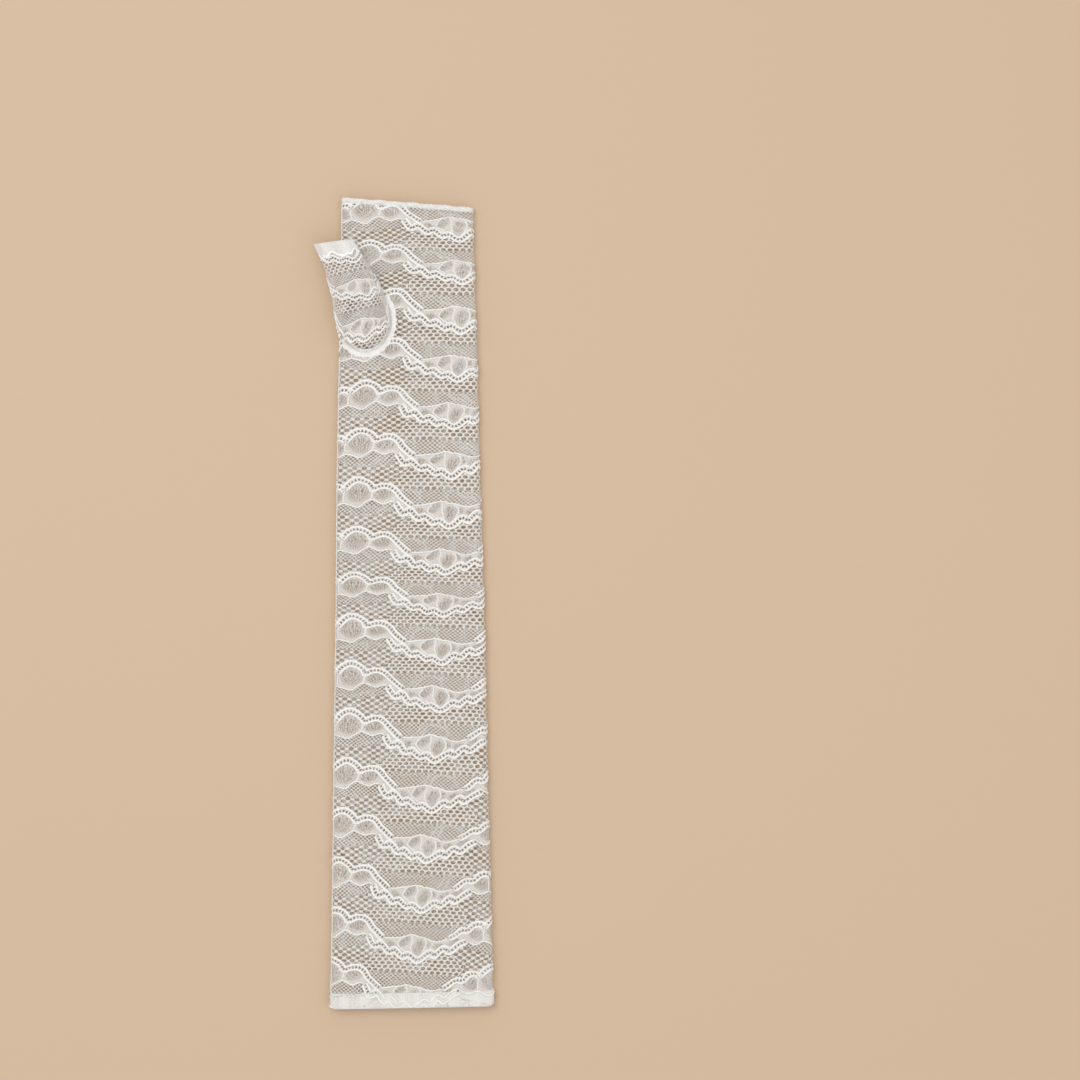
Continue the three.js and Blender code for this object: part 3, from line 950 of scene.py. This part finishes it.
def zigzag(start, end, reach, pitch, step=0.45):
    """A thread that crosses from side to side along a straight path."""
    length = math.hypot(end[0] - start[0], end[1] - start[1])
    run = np.linspace(0, length, round(length / step))
    ahead = np.array((end[0] - start[0], end[1] - start[1])) / length
    square = np.array((-ahead[1], ahead[0]))
    swing = reach * np.arcsin(np.sin(2 * math.pi * run / pitch)) * 2 / math.pi
    return np.array(start) + run[:, None] * ahead + swing[:, None] * square


def fold_seam(low, high):
    """An overlocked seam on the thumb side fold: a ridge, two edge threads and the thread across. The
    threads on top are painted lighter and the ridge under them darker: painted highlight and painted
    shade.
    """
    y = np.arange(low, high, 1.2)
    line = np.column_stack([seam_arcs(0.5 - y / LENGTH)[0], y])
    parts = [sweep(line, profile(1.15, 0.32, count=8, squareness=0.8), rise=0.0, tone=0.6)]
    for side in (-1.0, 1.0):
        parts.append(sweep(line + (side, 0), profile(0.3, 0.25, count=6), rise=0.3, tone=0.9))
    wave = zigzag((0, low), (0, high), reach=0.95, pitch=2.2)
    wave[:, 0] += seam_arcs(0.5 - wave[:, 1] / LENGTH)[0]
    parts.append(sweep(wave, profile(0.22, 0.22, count=5), rise=0.42, tone=1.0))
    return parts


def palm_arc(x, y):
    """The arc length of a place seen from above, on the palm or on the thumb side fold."""
    middle, flat, radius, _ = sleeve_size(0.5 - y / LENGTH)
    bend = radius - CLOTH / 2
    past = np.clip((-(x - middle) - flat) / bend, 0, 1)
    return np.where(past > 0, -flat - bend * np.arcsin(past), x - middle)


def round_root(distance, step, first=-52, last=142, swing=0.0, pitch=1.0):
    """A path round the thumb's root, from the heel towards the little finger side, in degrees."""
    reach = math.pi * (ROOT_LENGTH / 2 + distance) * (last - first) / 180
    angle = np.radians(np.linspace(first, last, round(reach / step)))
    run = np.linspace(0, reach, len(angle))
    out = distance + swing * np.arcsin(np.sin(2 * math.pi * run / pitch)) * 2 / math.pi
    x = ROOT_X + (ROOT_WIDTH / 2 + out) * np.sin(angle)
    y = ROOT_Y - (ROOT_LENGTH / 2 + out) * np.cos(angle)
    return np.column_stack([palm_arc(x, y), y])


def root_seam():
    """The double seam round the thumb's root, with its stitches. The strip between the two ropes is
    painted darker, as painted shade, and the stitches on top lighter, as a painted highlight.
    """
    parts = []
    inner, outer = 1.2, 3.5
    middle = (inner + outer) / 2
    rope = profile(0.95, 0.75, count=8)
    for distance in (inner, outer):
        line = round_root(distance, step=0.4)
        parts.append(sweep(line, rope, rise=0.25, tone=0.75, relief=rolled_stitches))
    parts.append(sweep(round_root(middle, step=0.4), profile(1.3, 0.3, count=6), rise=0.2, tone=0.4))
    stitches = round_root(middle, step=0.35, swing=1.2, pitch=2.6)
    parts.append(sweep(stitches, profile(0.22, 0.25, count=5), rise=0.85, tone=1.0))
    frill = round_root(4.9, step=0.4, first=-46, last=136, swing=0.35, pitch=5.3)
    section = profile(1.15, 0.3, count=8, squareness=0.8)
    parts.append(sweep(frill, section, rise=0.2, tone=0.6, relief=rolled_stitches))
    return parts


def hem_edge(angle):
    """The uneven lower edge of the thumb's hem, counted in rings."""
    return HEM_ROW - 0.08 - 0.09 * np.sin(5 * angle) - 0.05 * np.sin(11 * angle + 1)


def on_thumb(name, material, middle, half, section, rise, tone, folds=None):
    """A closed band round the thumb, between two rings, with its section out of the cloth."""
    turn = np.linspace(0, TURNS - 1, len(middle))[:, None]
    row = ((middle + half * section[None, :, 0]) * ROWS_TO_RING).ravel()
    column = np.repeat(turn, len(section), axis=1).ravel()
    out = np.tile(section[:, 1], len(middle))
    bulge = folds(column * 2 * math.pi / (TURNS - 1), row) * (out > 0) if folds else 0
    place = pick(thumb_grid, row, column) + pick(thumb_out, row, column) * (rise + out + bulge)[:, None]
    tones = np.zeros((row.size, 3))
    # Painted highlight and painted shade: the band is painted lighter on its fold crests and darker in
    # their troughs
    tones[:, 0] = tone + bulge
    uv = np.column_stack([column / TURNS, unit(row)])
    return mesh_object(name, place, tube_faces(len(middle), len(section)), tones, material, uv)


def hem_folds(angle, row):
    """Soft folds round the thumb's hem, with fine ones between them; the same values paint the crests
    lighter and the troughs darker, as painted shade.
    """
    return 0.17 * np.sin(7 * angle + 2) + 0.12 * np.sin(38 * angle) * np.sin(row * 0.8)


def thumb_hem():
    """The thumb's turned hem, with a cord along its uneven lower edge. The raised cord is painted lighter
    than the band: painted highlight and painted shade.
    """
    angle = np.linspace(-math.pi, math.pi, 260)[:, None]
    edge = hem_edge(angle)
    end = END_ROW - 0.03
    flat_section = profile(1.0, 0.7, count=16, squareness=0.7)
    band = on_thumb("thumb_hem_band", hem_yarn, (edge + end) / 2, (end - edge) / 2, flat_section,
                    rise=0.0, tone=0.45, folds=hem_folds)
    cord = on_thumb("thumb_hem_edge", seam_yarn, edge, 0.07, profile(1.0, 0.45, count=6),
                    rise=0.55, tone=0.95)
    return band, cord


def node(tree, kind, values=None, **settings):
    """A new node with its settings, then the values of its sockets."""
    made = tree.nodes.new(kind)
    for key, value in settings.items():
        setattr(made, key, value)
    for socket, value in (values or {}).items():
        made.inputs[socket].default_value = value
    return made


def yarn_material(name, fleck_and_shade_colour, bright, fuzz, cover=None, twisted=False):
    """White yarn, painted lighter where it stands out and darker where it lies low (painted highlight and
    painted shade), with random flecks. cover: how close a thin cloth and a full one are.
    """
    material = bpy.data.materials.new(name)
    material.use_nodes = True
    tree = material.node_tree
    shader = tree.nodes["Principled BSDF"]
    shader.inputs["Roughness"].default_value = 0.85
    shader.inputs["Specular IOR Level"].default_value = 0.25
    shader.inputs["Sheen Weight"].default_value = 0.25
    shader.inputs["Sheen Roughness"].default_value = 0.5
    place = node(tree, "ShaderNodeTexCoord").outputs["Object"]
    fan = node(tree, "ShaderNodeAttribute", attribute_name="fan").outputs["Fac"]
    tone = node(tree, "ShaderNodeAttribute", attribute_name="tone")
    fleck = node(tree, "ShaderNodeTexNoise", {"Scale": 900, "Detail": 3})
    weave = node(tree, "ShaderNodeTexWave", {"Scale": 330, "Distortion": 1.5}, bands_direction="DIAGONAL")
    less = node(tree, "ShaderNodeMath", {1: 0.25}, operation="SUBTRACT")
    shade = node(tree, "ShaderNodeMath", {1: 0.5}, operation="MULTIPLY_ADD")
    relief = node(tree, "ShaderNodeMath", {1: 0.6}, operation="MULTIPLY_ADD")
    # Painted light and shade: the tone attribute, with random flecks, mixes the yarn from its shade colour
    # to its white
    mix = node(tree, "ShaderNodeMix", {6: (*fleck_and_shade_colour, 1), 7: (*bright, 1)}, data_type="RGBA")
    bump = node(tree, "ShaderNodeBump", {"Strength": fuzz, "Distance": 0.0004})
    links = tree.links
    links.new(place, fleck.inputs["Vector"])
    links.new(place, weave.inputs["Vector"])
    links.new(tone.outputs["Fac"], less.inputs[0])
    links.new(fleck.outputs["Fac"], shade.inputs[0])
    links.new(less.outputs[0], shade.inputs[2])
    links.new(shade.outputs[0], mix.inputs[0])
    if twisted:
        ply = node(tree, "ShaderNodeMath", operation="SINE")
        links.new(fan, ply.inputs[0])
        links.new(ply.outputs[0], relief.inputs[0])
    else:
        links.new(weave.outputs["Fac"], relief.inputs[0])
    links.new(fleck.outputs["Fac"], relief.inputs[2])
    links.new(mix.outputs[2], shader.inputs["Base Color"])
    links.new(relief.outputs[0], bump.inputs["Height"])
    links.new(bump.outputs["Normal"], shader.inputs["Normal"])
    if cover:
        links.new(thin_weave(tree, place, fan, weave, cover), shader.inputs["Alpha"])
    return material


def thin_weave(tree, place, fan, weave, cover):
    """How solid the cloth is: a close weave, and stray threads in its thin places."""
    thin, full = cover
    sheer = node(tree, "ShaderNodeAttribute", attribute_name="sheer")
    stray = node(tree, "ShaderNodeTexNoise", {"Scale": 300, "Detail": 2})
    drift = node(tree, "ShaderNodeMath", {1: 7.0}, operation="MULTIPLY_ADD")
    turns = node(tree, "ShaderNodeMath", {1: 2 * math.pi / 2.5}, operation="MULTIPLY")
    wave = node(tree, "ShaderNodeMath", operation="SINE")
    thread = node(tree, "ShaderNodeMapRange", {
        "From Min": -1, "From Max": 1, "To Min": thin, "To Max": thin + 0.55,
    })
    close = node(tree, "ShaderNodeMapRange", {"To Min": full, "To Max": 1})
    alpha = node(tree, "ShaderNodeMix", data_type="FLOAT")
    links = tree.links
    links.new(place, stray.inputs["Vector"])
    links.new(stray.outputs["Fac"], drift.inputs[0])
    links.new(fan, drift.inputs[2])
    links.new(drift.outputs[0], turns.inputs[0])
    links.new(turns.outputs[0], wave.inputs[0])
    links.new(wave.outputs[0], thread.inputs["Value"])
    links.new(weave.outputs["Fac"], close.inputs["Value"])
    links.new(sheer.outputs["Fac"], alpha.inputs[0])
    links.new(close.outputs["Result"], alpha.inputs[2])
    links.new(thread.outputs["Result"], alpha.inputs[3])
    return alpha.outputs[0]


# The part was moved so that its box is centred; the sleeve's left edge tells how far
edge_along = (LENGTH - ARM_HEM) / LENGTH
arm_middle, arm_flat, arm_radius, _ = sleeve_size(edge_along)
sleeve_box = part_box("sleeve")
SHIFT = np.array((float(sleeve_box[0][0]) - (arm_middle - arm_flat - arm_radius) * MM, 0.0, 0.0))

LACE_WHITE = (0.92, 0.91, 0.89)
SOFT_WHITE = (0.90, 0.895, 0.88)
SEAM_WHITE = (0.92, 0.915, 0.90)
# Each yarn's first colour is its painted shade, also used for random flecks; the second is its white
net_yarn = yarn_material("net_yarn", (0.60, 0.54, 0.48), LACE_WHITE, fuzz=0.5)
cord_yarn = yarn_material("cord_yarn", (0.74, 0.72, 0.69), SOFT_WHITE, fuzz=0.5, twisted=True)
cloth_yarn = yarn_material("cloth_yarn", (0.62, 0.56, 0.51), LACE_WHITE, fuzz=0.6, cover=(0.12, 0.6))
hem_yarn = yarn_material("hem_yarn", (0.66, 0.63, 0.60), SOFT_WHITE, fuzz=0.7)
seam_yarn = yarn_material("seam_yarn", (0.76, 0.74, 0.71), SEAM_WHITE, fuzz=0.5, twisted=True)


def belongs(piece, node_name):
    """The piece stands for a node, whose own part is hidden."""
    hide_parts(node_name)
    return piece


fine, coarse, cords, close = charted()
LACE = (
    ("fine_net", fine, net_yarn),
    ("open_net", coarse, net_yarn),
    ("cords", cords, cord_yarn),
    ("cloth", close, cloth_yarn),
)
for title, swatch, material in LACE:
    piece, area = sleeve_lace("lace_" + title, swatch, material)
    belongs(piece, "sleeve")
    belongs(thumb_lace("thumb_" + title, swatch, material), "thumb")

FINGER_EDGE = 0
ARM_EDGE = 1
ALONG = (0.0, 1.0)
# The thread over the hem is painted lighter than the roll under it: painted highlight and painted shade
roll = round_sleeve(FINGER_EDGE, distance=1.75, step=0.35)
slow_waves = 0.3 * np.sin(roll[:, 0] * 0.45) * np.sin(roll[:, 0] * 0.13 + 1)
roll[:, 1] += slow_waves + 0.12 * np.sin(roll[:, 0] * 2.1)
round_section = profile(1.55, 0.8, count=12)
rolled = sweep(roll, round_section, rise=0.2, tone=0.55, relief=rolled_stitches, square=ALONG)
belongs(on_sleeve("finger_hem_roll", [rolled], hem_yarn), "finger_hem")
thread = round_sleeve(FINGER_EDGE, distance=3.2, step=0.45)
thread[:, 1] += 0.45 * np.sin(thread[:, 0] * 2.6) + 0.2 * np.sin(thread[:, 0] * 0.7)
wavy = sweep(thread, profile(0.32, 0.28, count=5), rise=0.5, tone=0.9)
belongs(on_sleeve("finger_hem_thread", [wavy], seam_yarn), "finger_hem")

middle = round_sleeve(ARM_EDGE, distance=5.1, step=0.5)
section = profile(4.95, 0.55, count=22, squareness=0.6)
band = sweep(middle, section, rise=0.1, tone=0.45, relief=soft_folds, square=ALONG)
belongs(on_sleeve("arm_hem_band", [band], hem_yarn), "arm_hem")
for title, swatch, material in LACE[1:3]:
    piece = sleeve_lace("arm_hem_" + title, swatch, material, arm_hem_limits, 0.5, HEM_BANDS)[0]
    belongs(piece, "arm_hem")

for piece in thumb_hem():
    belongs(piece, "thumb_hem")
belongs(on_sleeve("root_seam", root_seam(), seam_yarn), "thumb_seam")
side_seam = fold_seam(-LENGTH / 2 + ARM_HEM, SIDE_SEAM_END)
belongs(on_sleeve("side_seam_overlock", side_seam, seam_yarn), "side_seam")
hand_seam = fold_seam(HAND_SEAM_START, LENGTH / 2 - FINGER_HEM)
belongs(on_sleeve("hand_seam_overlock", hand_seam, seam_yarn), "hand_seam")


PHOTO_MIDDLE = 540
CAMERA_HEIGHT = 1.95
FLOOR_HALF = 15.0
FLOOR_COLOUR = (0.61, 0.46, 0.325)


def camera():
    """Straight above, with the mitten off the middle as in the photograph."""
    data = bpy.data.cameras.new("camera")
    data.lens = 100
    data.sensor_width = 36
    item = bpy.data.objects.new("camera", data)
    right = (PHOTO_MIDDLE - CHART_MIDDLE[0]) * CHART * MM
    up = (CHART_MIDDLE[1] - PHOTO_MIDDLE) * CHART * MM
    item.location = (right, up, CAMERA_HEIGHT)
    bpy.context.scene.collection.objects.link(item)
    bpy.context.scene.camera = item


def light(name, place, size, power):
    data = bpy.data.lights.new(name, "AREA")
    data.shape = "SQUARE"
    data.size = size
    data.energy = power
    item = bpy.data.objects.new(name, data)
    item.location = place
    item.rotation_euler = (-Vector(place)).to_track_quat("-Z", "Y").to_euler()
    bpy.context.scene.collection.objects.link(item)


def floor():
    material = bpy.data.materials.new("floor")
    material.use_nodes = True
    shader = material.node_tree.nodes["Principled BSDF"]
    shader.inputs["Base Color"].default_value = (*FLOOR_COLOUR, 1)
    shader.inputs["Roughness"].default_value = 0.9
    mesh = bpy.data.meshes.new("floor")
    corners = [(x * FLOOR_HALF, y * FLOOR_HALF, 0) for x, y in ((-1, -1), (1, -1), (1, 1), (-1, 1))]
    mesh.from_pydata(corners, [], [(0, 1, 2, 3)])
    mesh.materials.append(material)
    item = bpy.data.objects.new("floor", mesh)
    bpy.context.scene.collection.objects.link(item)


bpy.context.scene.view_settings.view_transform = "Standard"
camera()
floor()
light("key", place=(-0.6, 0.6, 2.2), size=1.7, power=24)
light("fill", place=(1.1, -0.6, 2.0), size=2.2, power=9)
world = bpy.data.worlds.new("studio")
world.use_nodes = True
world.node_tree.nodes["Background"].inputs["Color"].default_value = (1, 0.98, 0.95, 1)
world.node_tree.nodes["Background"].inputs["Strength"].default_value = 0.65
bpy.context.scene.world = world
